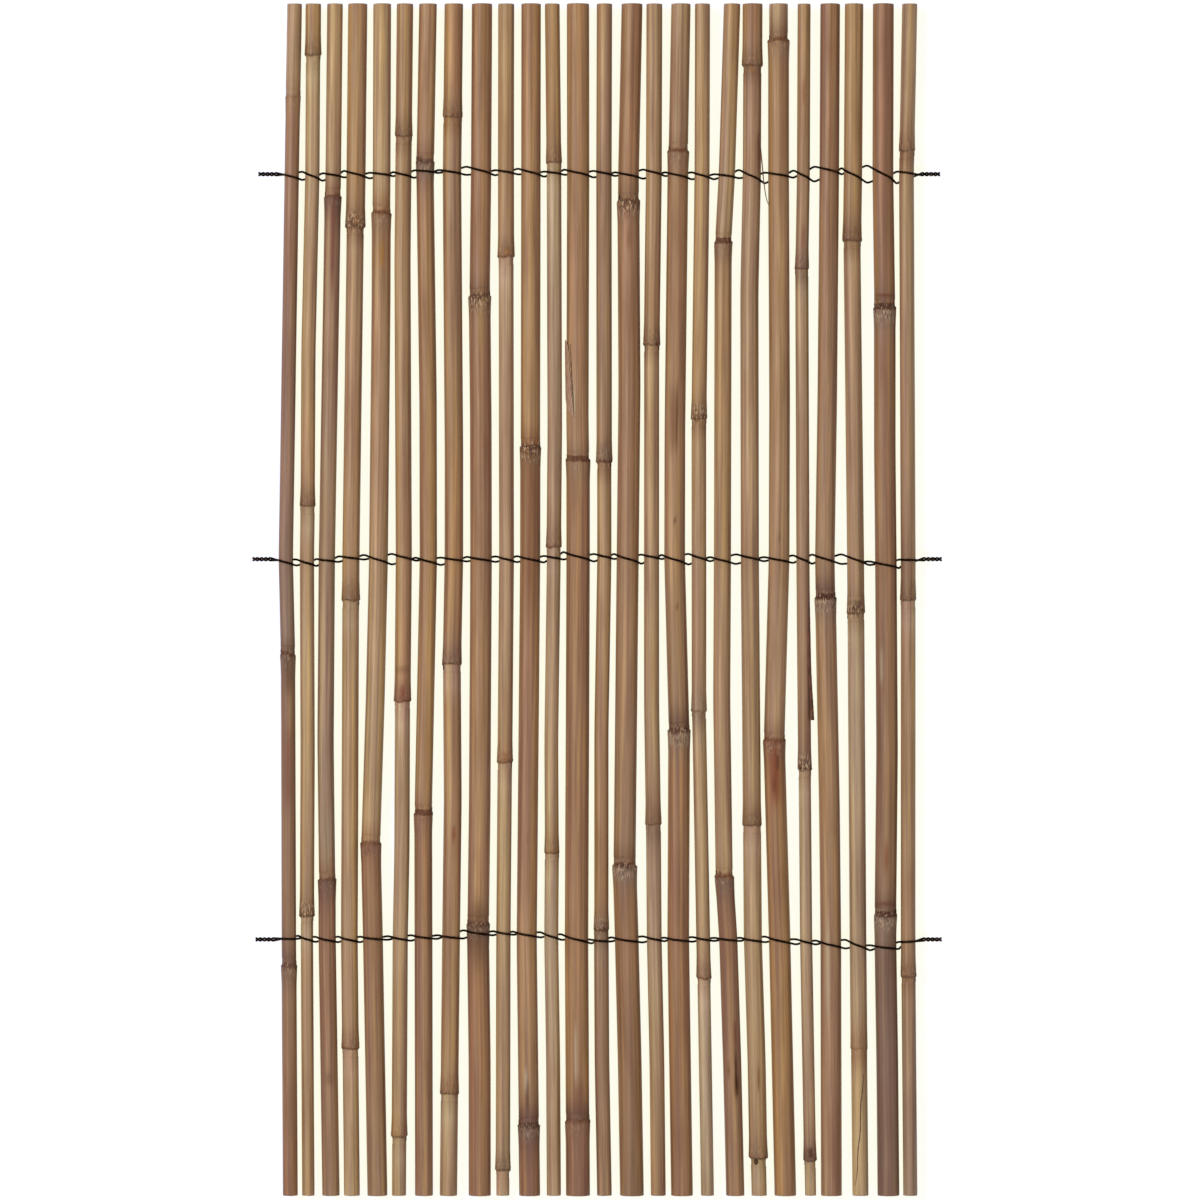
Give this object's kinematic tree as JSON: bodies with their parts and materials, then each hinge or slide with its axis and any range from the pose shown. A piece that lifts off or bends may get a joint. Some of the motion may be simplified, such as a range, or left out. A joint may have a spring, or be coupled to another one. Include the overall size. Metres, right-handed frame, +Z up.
{
  "type": "wired reed screening section",
  "caption": "Flat section of reed screening: hollow reed canes laid side by side and laced together by rows of twined wire.",
  "frame": {"origin": "under the middle of the section, on the plane that its lowest wires rest on", "axes": "+Y along the canes towards their head, +X across the canes, +Z up out of the face that shows"},
  "size_m": [0.2894, 0.5, 0.012],
  "materials": {
    "reed_cane": "dry natural reed, satin skin, tan to plum brown",
    "lacing_wire": "thin black annealed steel wire, dull"
  },
  "bodies": {
    "root": {"cane_01": "reed_cane", "cane_02": "reed_cane", "cane_03": "reed_cane", "cane_04": "reed_cane", "cane_05": "reed_cane", "cane_06": "reed_cane", "cane_07": "reed_cane", "cane_08": "reed_cane", "cane_09": "reed_cane", "cane_10": "reed_cane", "cane_11": "reed_cane", "cane_12": "reed_cane", "cane_13": "reed_cane", "cane_14": "reed_cane", "cane_15": "reed_cane", "cane_16": "reed_cane", "cane_17": "reed_cane", "cane_18": "reed_cane", "cane_19": "reed_cane", "cane_20": "reed_cane", "cane_21": "reed_cane", "cane_22": "reed_cane", "cane_23": "reed_cane", "cane_24": "reed_cane", "cane_25": "reed_cane", "cane_26": "reed_cane", "row_1_wire_a": "lacing_wire", "row_1_wire_b": "lacing_wire", "row_2_wire_a": "lacing_wire", "row_2_wire_b": "lacing_wire", "row_3_wire_a": "lacing_wire", "row_3_wire_b": "lacing_wire"}
  },
  "joints": []
}
